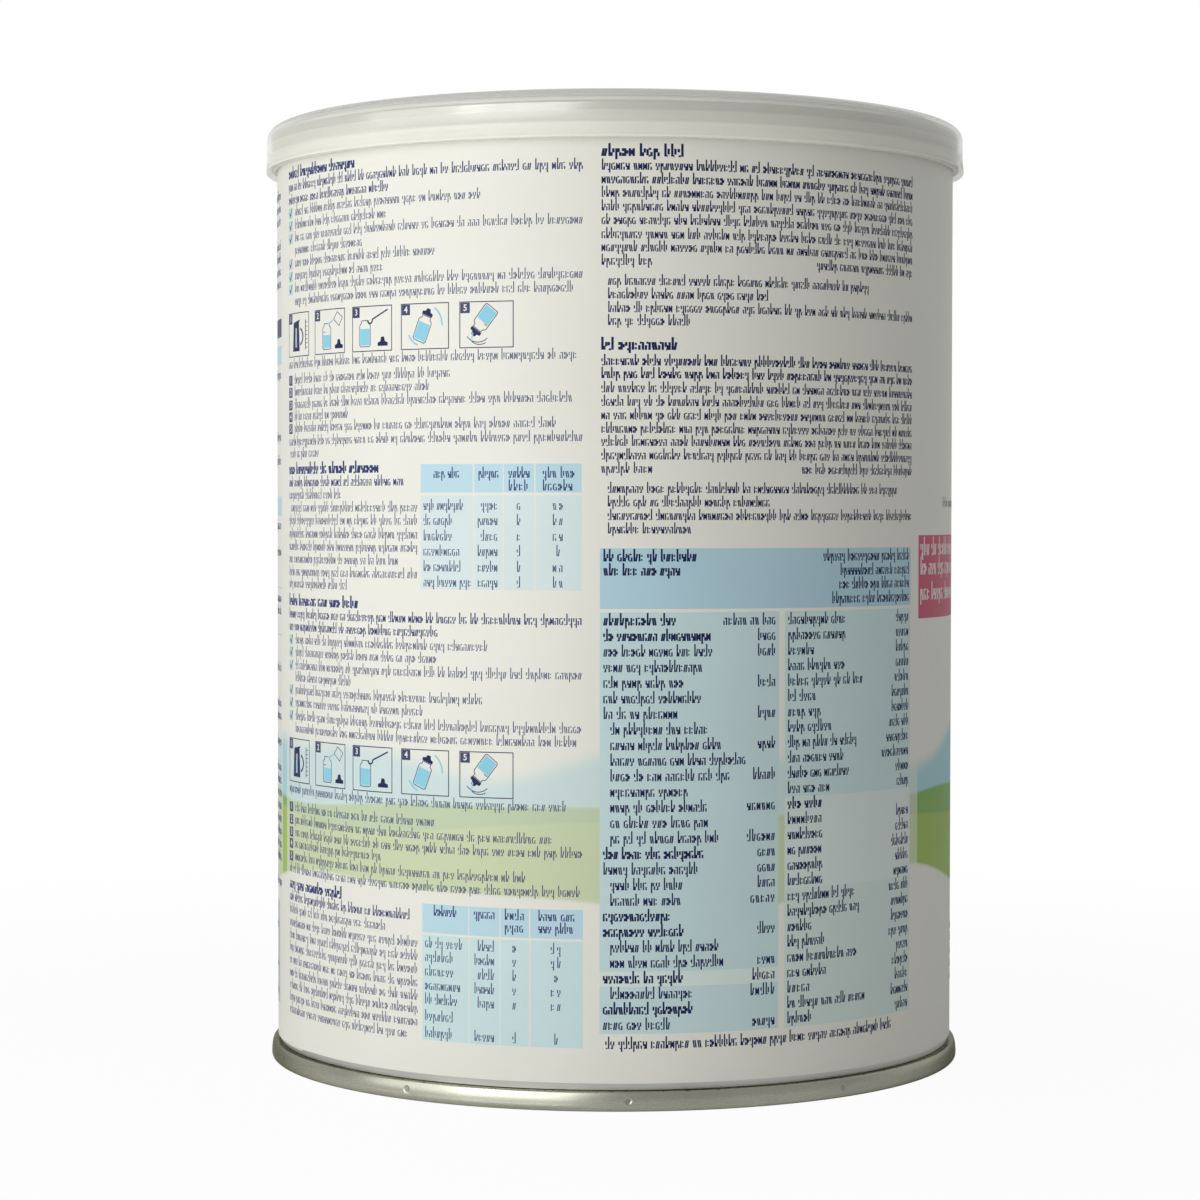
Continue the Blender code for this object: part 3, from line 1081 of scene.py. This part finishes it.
def drawShaking(lines, fills, x, y):
    addBottle(lines, fills, x - 1.2, y + 1.4, -22, 3.4)
    addArc(fills, x - 0.2, y + 4.0, 3.9, 0, 52, 0.3)
    addArc(fills, x - 0.2, y + 4.0, 3.4, 205, 250, 0.3)


def drawDrops(lines, fills, x, y):
    # Three drops fall from the bottle on a bent wrist.
    addBottle(lines, fills, x + 1.2, y + 6.9, 142, 3.0)
    for i in range(3):
        drop = [(-0.16, 0), (0, -0.2), (0.16, 0), (0, 0.42)]
        addPlate(fills, drop, (x - 2.5 - 0.1 * i, y + 2.4 - 0.55 * i))
    addArc(lines, x - 1.5, y + 3.6, 2.6, 218, 312, 0.14)
    addArc(lines, x - 1.2, y + 2.9, 2.3, 215, 300, 0.14)


stepFrame = {
    "tall": 8.0,
    "line": 0.16,
    "number": (0.2, 2.0, 6.0, 7.8),  # the box of the step's number: left, right, foot, top
    "figure": (1.1, 6.9, 1.15),  # the number's middle and size
    "strip": 1.0,
    # Each step: where its thin frame starts, how wide it is, and what is drawn in it.
    "steps": (
        (-75.7, 9.5, drawKettle),
        (-63.9, 10.05, drawPouring),
        (-51.7, 10.05, drawScoop),
        (-39.6, 10.05, drawShaking),
        (-27.5, 10.05, drawDrops),
    ),
}


def printPictograms(box, y, name):
    lines = sheetFor(name + "Lines", "navyInk", "mark")
    fills = sheetFor(name + "Fills", "skyInk", "over")
    x0, x1, y0, y1 = box["number"]
    right, up, tall = box["figure"]
    for number, (x, wide, draw) in enumerate(box["steps"], 1):
        addOutline(lines, x, x + wide, y, y + box["tall"], box["line"])
        printField("numberBoxes", "navyWash", x + x0, x + x1, y + y0, y + y1)
        addDigit(whitePrint(), str(number), x + right, y + up, tall)
        draw(lines, fills, x + wide / 2, y)
    for flat in (lines, fills):
        sliceUpright(flat, box["strip"])


doseTables = (
    {
        "seed": 21,
        "bodyInk": "upperBodyWash",
        "head": (105.7, 110.6),
        "body": (89.0, 105.2),
        "columns": ((-35.3, -24.95), (-24.7, -19.4), (-19.2, -13.8), (-13.55, -5.6)),
        "headRows": (108.8, 106.6),
        # Height of each row and length of its first cell's marks.
        "rows": ((103.3, 7.8), (100.7, 5.7), (98.0, 5.7), (95.4, 7.2), (92.7, 7.4), (90.05, 9.4)),
        "oneCell": (),
    },
    {
        "seed": 22,
        "bodyInk": "lowerBodyWash",
        "head": (29.4, 34.4),
        "body": (10.7, 29.0),
        "columns": ((-35.0, -25.8), (-25.6, -20.0), (-19.8, -14.7), (-14.45, -5.3)),
        "headRows": (33.0, 30.9),
        "rows": ((27.4, 7.4), (25.0, 5.6), (22.5, 5.7), (20.05, 7.0), (17.6, 6.4), (14.7, 5.6), (11.8, 5.4)),
        "oneCell": (14.7,),
    },
)
# Half lengths of the head's rows as shares of their columns, then how the rows of each column are set.
doseCells = {
    "headShares": (0.24, 0.34),
    "headLower": 0.9,
    "firstInset": 0.6,
    "secondInset": 1.0,
    "secondLengths": (3.0, 3.6),
    "thirdHalf": 0.35,
    "fourthHalves": (0.35, 0.95, 0.95),
}


def printDoseTable(table, cells):
    dice = random.Random(table["seed"])
    marks = sheetFor("tableMarks" + str(table["seed"]), "listInk", "mark")
    upper, lower = table["headRows"]
    for i, (start, end) in enumerate(table["columns"]):
        printField("doseHeads", "headWash", start, end, *table["head"])
        printField("doseBodies" + table["bodyInk"], table["bodyInk"], start, end, *table["body"])
        middle = (start + end) / 2
        half = (end - start) * cells["headShares"][min(i, 1)]
        addRow(marks, "strong", middle - half, middle + half, upper, dice)
        if i > 1:
            addRow(marks, "strong", middle - half, middle + half * cells["headLower"], lower, dice)
    first, second, third, fourth = table["columns"]
    start = first[0] + cells["firstInset"]
    end = second[1] - cells["secondInset"]
    for height, long in table["rows"]:
        addRow(marks, "table", start, start + long, height, dice)
        if height in table["oneCell"]:
            continue
        addRow(marks, "table", end - dice.choice(cells["secondLengths"]), end, height, dice)
        middle, half = sum(third) / 2, cells["thirdHalf"]
        addRow(marks, "table", middle - half, middle + half, height, dice)
        middle, half = sum(fourth) / 2, dice.choice(cells["fourthHalves"])
        addRow(marks, "table", middle - half, middle + half, height, dice)


# Each row of the wide table: length at its left, length at its right, and how it is set, bold or inset.
wideLeftRows = (
    (12.3, 9.7, "b"), (18.4, 3.3, "b"), (18.7, 3.3, ""), (16.9, 0, ""), (13.6, 3.3, ""), (16.7, 0, ""),
    (12.6, 3.3, ""), (16.7, 0, "i"), (19.1, 3.3, "i"), (23.6, 0, "i"), (20.7, 4.2, "i"), (13.2, 0, "i"),
    (16.6, 5.3, "i"), (16.8, 0, "i"), (18.7, 5.3, "i"), (17.2, 3.3, "b"), (16.2, 3.3, ""), (12.3, 3.3, "i"),
    (12.0, 4.6, "i"), (11.4, 0, "b"), (13.7, 3.3, "b"), (18.7, 0, "i"), (19.6, 3.3, "i"), (13.6, 4.2, "b"),
    (14.1, 4.6, "i"), (15.3, 0, "b"), (11.4, 4.2, ""),
)
wideRightRows = (
    (12.4, 4.2, ""), (12.4, 4.2, ""), (5.3, 4.2, ""), (12.2, 4.2, ""), (16.7, 4.6, ""), (5.7, 5.5, ""),
    (6.8, 5.5, ""), (9.2, 6.2, ""), (15.2, 7.1, ""), (12.0, 8.5, ""), (13.3, 4.2, ""), (8.8, 3.8, ""),
    (7.1, 0, "b"), (7.1, 3.9, ""), (7.2, 4.2, ""), (7.0, 5.5, ""), (7.2, 4.2, ""), (7.2, 4.7, ""),
    (14.8, 6.2, ""), (16.0, 5.5, ""), (4.9, 5.5, ""), (7.7, 6.2, ""), (15.3, 3.8, ""), (8.1, 5.2, ""),
    (4.6, 4.2, ""), (17.5, 5.5, ""), (4.9, 4.2, ""),
)

wideTable = {
    "fields": (
        ("wideHeads", "wideHeadWash", -2.45, 62.7, 85.85, 96.2),
        ("wideLefts", "wideLeftWash", -2.45, 29.45, 23.9, 85.3),
        ("wideLefts", "wideLeftWash", -2.45, 29.45, 13.2, 21.3),
        ("wideRights", "wideRightWash", 30.65, 62.65, 53.2, 85.3),
        ("palePatches", "palePatchWash", -2.45, 29.45, 21.3, 23.9),
        ("palePatches", "palePatchWash", 30.65, 62.65, 37.3, 53.2),
        ("lowPatches", "lowPatchWash", 30.65, 62.65, 13.2, 37.3),
    ),
    # The head's rows: height, start and end.
    "titles": ((94.6, -1.8, 14.1), (92.2, -1.8, 11.2)),
    "notes": ((94.6, 38.7, 62.0), (92.1, 42.6, 62.0), (89.7, 42.3, 62.0), (87.2, 40.7, 62.0)),
    "columns": ((wideLeftRows, -1.8, 28.7), (wideRightRows, 31.3, 61.9)),
    "firstRow": 83.7,
    "pitch": 2.66,
    "inset": 1.2,
    "footRow": (11.3, -1.4, 56.4),
}


def printWideTable(table, shift, seed):
    dice = random.Random(seed)
    marks = sheetFor("wideMarks" + str(seed), "navyInk", "mark")
    for name, ink, x0, x1, y0, y1 in table["fields"]:
        printField(name, ink, x0 + shift, x1 + shift, y0, y1)
    for style, rows in (("wideStrong", table["titles"]), ("wide", table["notes"])):
        for height, start, end in rows:
            addRow(marks, style, start + shift, end + shift, height, dice)
    for rows, start, end in table["columns"]:
        for i, (left, right, setting) in enumerate(rows):
            height = table["firstRow"] - i * table["pitch"]
            first = start + (table["inset"] if setting == "i" else 0) + shift
            addRow(marks, "wideStrong" if setting == "b" else "wide", first, first + left, height, dice)
            if right:
                addRow(marks, "wide", end + shift - right, end + shift, height, dice)
    height, start, end = table["footRow"]
    addRow(marks, "wide", start + shift, end + shift, height, dice)


def addBlock(flat, start, end, block, dice):
    # Rows at an even pitch, each cut short by one of the block's cuts.
    for i in range(block["rows"]):
        cut = dice.choice(block["cuts"])
        addRow(flat, "plain", start, end - cut, block["top"] - block["pitch"] * i, dice)


backRows = (
    # style, height, and how far it stops short of the column's right edge
    ("plain", 160.7, 0), ("plain", 158.3, 0), ("plain", 156.0, 0),
    ("strong", 151.4, 0), ("plain", 149.1, 0), ("plain", 146.7, 0), ("plain", 144.4, 0),
    ("plain", 127.6, 0), ("plain", 124.2, 20), ("plain", 121.2, 24), ("plain", 118.6, 22),
    ("plain", 116.1, 0), ("plain", 113.9, 30), ("plain", 111.7, 0), ("plain", 108.6, 26),
    ("plain", 99.7, 0), ("plain", 97.2, 24), ("plain", 94.8, 0), ("plain", 92.4, 22),
    ("plain", 86.2, 0), ("plain", 83.9, 0), ("plain", 76.4, 28), ("plain", 73.3, 0), ("plain", 70.0, 30),
)

backPanel = {
    "left": -150.0,
    "right": -84.3,
    "barPast": 1.0,  # the bars run this far past the rows
    "textInset": 1.5,
    "lowRows": {"rows": 15, "top": 66.7, "pitch": 2.38, "cuts": (0, 0, 0, 12)},
    "darkBar": (134.7, 138.1),
    "darkRow": (136.4, 22),
    "paleBars": ((129.7, 133.1), (101.7, 105.2)),
    "paleCut": 30,
    "rules": (88.3, 79.6),
    "ruleHalf": 0.12,
    "grey": (-87.0, 10.6, 29.8),
    "greyRight": -89.0,
    "greyRows": {"rows": 7, "top": 27.6, "pitch": 2.5, "cuts": (0, 6, 0, 14)},
}


def printBackPanel(rows, panel, seed):
    # The panel that faces away from the front. Only the ends of its rows show beside the overlap.
    dice = random.Random(seed)
    marks = sheetFor("backMarks", "listInk", "mark")
    start, end = panel["left"], panel["right"]
    first, past = start + panel["textInset"], end + panel["barPast"]
    for kind, height, cut in rows:
        addRow(marks, kind, start, end - cut, height, dice)
    addBlock(marks, start, end, panel["lowRows"], dice)
    printField("numberBoxes", "navyWash", start, past, *panel["darkBar"])
    height, cut = panel["darkRow"]
    addRow(whitePrint(), "strong", first, end - cut, height, dice)
    for low, high in panel["paleBars"]:
        printField("doseHeads", "headWash", start, past, low, high)
        addRow(marks, "strong", first, end - panel["paleCut"], (low + high) / 2, dice)
    half = panel["ruleHalf"]
    for height in panel["rules"]:
        printField("doseHeads", "headWash", start, past, height - half, height + half)
    printField("greyBlocks", "greyWash", start, *panel["grey"])
    addBlock(marks, first, panel["greyRight"], panel["greyRows"], dice)


displaySettings = {
    "banner": (65.8, 117.5, 83.3, 98.3),
    "bannerRows": ((95.7, 66.7, 108.0), (92.2, 66.7, 112.0), (87.6, 66.7, 104.0)),
    "note": (79.0, 112.0, 104.0),
    # The bare field and the rim round it.
    "field": (98.0, 166.0, 116.0, 146.0),
    "corner": 9,
    "rim": 1.6,
    "spots": ((132, 20, 5.5, "crimsonWash"), (146, 20, 5.5, "skyInk"), (160, 20, 5.5, "headWash")),
    "left": 90.0,
    "right": 124.0,
    "lowRows": {"rows": 5, "top": 25.0, "pitch": 2.4, "cuts": (0, 4, 9)},
    "strip": 1.1,
}


def roundedBox(x0, x1, y0, y1, radius):
    left, right, low, high = x0 + radius, x1 - radius, y0 + radius, y1 - radius
    points = []
    for x, y, first in ((right, low, 270), (right, high, 0), (left, high, 90), (left, low, 180)):
        points += arcPoints(x, y, radius, radius, first, first + 90, 8)
    return points


def printDisplayPanel(display, seed):
    # The far side, all generic: a bare field, a banner with marks and three round spots.
    dice = random.Random(seed)
    printField("bannerField", "crimsonWash", *display["banner"])
    for height, start, end in display["bannerRows"]:
        addRow(whitePrint(), "banner", start, end, height, dice)
    addRow(sheetFor("greyMarks", "greyInk", "mark"), "plain", *display["note"], dice)
    x0, x1, y0, y1 = display["field"]
    for ink, inset, level in (("wideHeadWash", 0, "field"), ("palePatchWash", display["rim"], "mark")):
        field = sheetFor("nameField" + ink, ink, level)
        addPlate(field, roundedBox(x0 + inset, x1 - inset, y0 + inset, y1 - inset, display["corner"] - inset))
        sliceUpright(field, display["strip"])
    for x, y, radius, ink in display["spots"]:
        spot = sheetFor("spot" + ink, ink, "field")
        addPlate(spot, arcPoints(x, y, radius, radius, 0, 352.5, 47))  # 48 corners
        sliceUpright(spot, display["strip"])
    low = sheetFor("displayMarks", "navyInk", "mark")
    addBlock(low, display["left"], display["right"], display["lowRows"], dice)


toBack = -218.5  # mm round the label, from the middle panel to its repeat

printRows(listRows, 0, "listMarks", "listInk", 11)
printRows(proseRows, 0, "proseMarks", "navyInk", 12)
printPictograms(stepFrame, 130.45, "upperSteps")
printPictograms(stepFrame, 53.2, "lowerSteps")
for table in doseTables:
    printDoseTable(table, doseCells)
printWideTable(wideTable, 0, 31)
printRows(proseRows, toBack, "backProse", "navyInk", 13)
printWideTable(wideTable, toBack, 32)
printBackPanel(backRows, backPanel, 14)
printDisplayPanel(displaySettings, 15)
wrapSheets()
print("print ready")


lidShape = {
    "top": 174.4,
    "radius": 65.5,
    "lipRadius": 65.72,
    "lipBottom": 165.75,
    "lipBevel": 0.16,
    "lipInner": 64.05,
    "lipBand": 0.55,
    "flare": 1.9,
    "skirtInner": 64.75,
    "lipEdge": ((0, 0.08), (-0.05, -0.06)),
    "lipLand": 0.16,
    "lipCut": 0.06,
    "crown": (3.7, 2.3),
    "rimWidth": 1.0,
    "rimSlope": 1.4,
    "roof": 1.3,
    "panelDrop": 2.6,
    "panelThickness": 0.9,
    "skirtRound": 1.0,
    "snap": 0.55,
    "snapHeight": 1.4,
    "stepRadius": 47,
    "step": 0.5,
    "stepSlope": 1.5,
    "facets": 384,
}

lidLook = {
    "colour": (0.975, 0.972, 0.88),
    "roughness": (0.31, 0.42),
    "low": 164.0,
    "high": 175.0,
    "shine": 0.5,
    # How solid the plastic looks by height: its walls are thinnest where they meet the seam.
    "solid": (
        (165.86, 0.12),
        (165.98, 0.72),
        (166.4, 0.52),
        (167.1, 0.64),
        (168.3, 0.64),
        (168.8, 0.45),
        (170.3, 0.42),
        (170.6, 0.3),
        (172.5, 0.3),
        (173.0, 0.36),
    ),
    # Painted shade by height: the top of the hollow rim is darkened in the base colour.
    "paintedShade": ((166.2, 1.0), (172.6, 1.0), (173.1, 0.4)),
    # Inside the rim the panel hangs clear of the tin and looks milky all over, with only a little painted
    # shade.
    "panel": {"radii": (60.4, 61.2), "solid": 0.66, "paintedShade": 0.96},
    "cloudNoise": {"scale": 70, "detail": 3.0, "roughness": 0.55},
    "cloudShades": (0.965, 1.02),
    "skinNoise": {"scale": 1400, "detail": 3.0, "roughness": 0.6},
    "skinBump": (0.01, 0.1),
    "sinkNoise": {"scale": 36, "detail": 1.0, "roughness": 0.4},
    "sinkBump": (0.8, 0.2),
}


def lidSection(size):
    # The outside from the panel's middle to the lip, then back along the inside.
    panelTop = size["top"] - size["panelDrop"]
    panelUnder = panelTop - size["panelThickness"]
    crownR, crownZ = size["crown"]
    rimOuter = size["radius"] - crownR
    rimInner = rimOuter - size["rimWidth"]
    panelEdge = rimInner - size["rimSlope"]
    bevelTop = size["lipBottom"] + size["lipBevel"]
    bandTop = bevelTop + size["lipBand"]
    stepFoot = size["stepRadius"] + size["stepSlope"]
    points = [(0, panelTop + size["step"])]
    points += easedStep(size["stepRadius"], size["stepSlope"], panelTop + size["step"], -size["step"])
    points += easedStep(panelEdge, size["rimSlope"], panelTop, size["panelDrop"], 10)
    points += arcPoints(rimOuter, size["top"] - crownZ, crownR, crownZ, 90, 0, 16)
    for i in range(1, 9):
        share = i / 8
        radius = size["radius"] + (size["lipRadius"] - size["radius"]) * smoothShare(share)
        points.append((radius, bandTop + size["flare"] * (1 - share)))
    points += [(size["lipRadius"] + out, bevelTop + up) for out, up in size["lipEdge"]]
    points += [
        (size["lipRadius"] - size["lipLand"], size["lipBottom"]),
        (size["lipInner"] + size["lipCut"], size["lipBottom"]),
        (size["lipInner"], size["lipBottom"] + size["lipCut"]),
        (size["lipInner"], bevelTop),
        (size["skirtInner"], bandTop),
    ]
    # Up the inside: the ring that catches under the seam, and the roof over it.
    half = size["snapHeight"] / 2
    snapMiddle = endShape["tinHeight"] - endShape["seamHeight"] - endShape["gap"] - half
    points += arcPoints(size["skirtInner"], snapMiddle, -size["snap"], half, -90, 90, 8)
    roof = size["top"] - size["roof"]
    rounding = size["skirtRound"]
    points += arcPoints(size["skirtInner"] - rounding, roof - rounding, rounding, rounding, 0, 90, 6)
    points += [
        (endShape["topRadius"] - endShape["seamThickness"] - endShape["gap"], roof),
        (panelEdge + size["panelThickness"], panelUnder),
        (stepFoot, panelUnder),
        (size["stepRadius"], panelUnder + size["step"]),
        (0, panelUnder + size["step"]),
    ]
    return points


def addSteps(tree, height, look, steps):
    # A grey value that follows the steps (height, value) up the lid.
    share = rangeOf(tree, height, look["low"], look["high"], 0.0, 1.0)
    ramp = addNode(tree, "ShaderNodeValToRGB")
    stops = ramp.color_ramp.elements
    while len(stops) < len(steps):
        stops.new(0.5)
    for stop, (level, value) in zip(stops, steps):
        stop.position = (level - look["low"]) / (look["high"] - look["low"])
        stop.color = (value, value, value, 1.0)
    tree.links.new(share, ramp.inputs["Fac"])
    return ramp.outputs["Color"]


def makeMilkyPlastic(look):
    material, tree, shader = startMaterial("milkyPlastic")
    _, height = angleAndHeight(tree)
    panel = look["panel"]
    inside = rangeOf(tree, distanceFromAxis(tree), *panel["radii"], 1.0, 0.0, True)
    solid = mixColours(tree, inside, addSteps(tree, height, look, look["solid"]), (panel["solid"],) * 3)
    # Painted shade: the base colour is darkened by height, most on top of the rim, and hardly in the panel.
    paintedShade = mixColours(tree, inside, addSteps(tree, height, look, look["paintedShade"]), (panel["paintedShade"],) * 3)
    tree.links.new(solid, shader.inputs["Alpha"])
    shader.inputs["Specular IOR Level"].default_value = look["shine"]
    tone = addCloud(tree, look["colour"], look["cloudNoise"], look["cloudShades"])
    tone = mixColours(tree, 1.0, tone, paintedShade, "MULTIPLY")
    tree.links.new(tone, shader.inputs["Base Color"])
    skin = addNoise(tree, **look["skinNoise"])
    linkRoughness(tree, shader, skin, *look["roughness"])
    normal = addBump(tree, shader, skin, *look["skinBump"])
    addBump(tree, shader, addNoise(tree, **look["sinkNoise"]), *look["sinkBump"], normal)
    return material


lid = turnProfile(lidSection(lidShape), lidShape["facets"])
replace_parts(makePiece("lidCap", lid, makeMilkyPlastic(lidLook)), "lid")
print("lid ready")
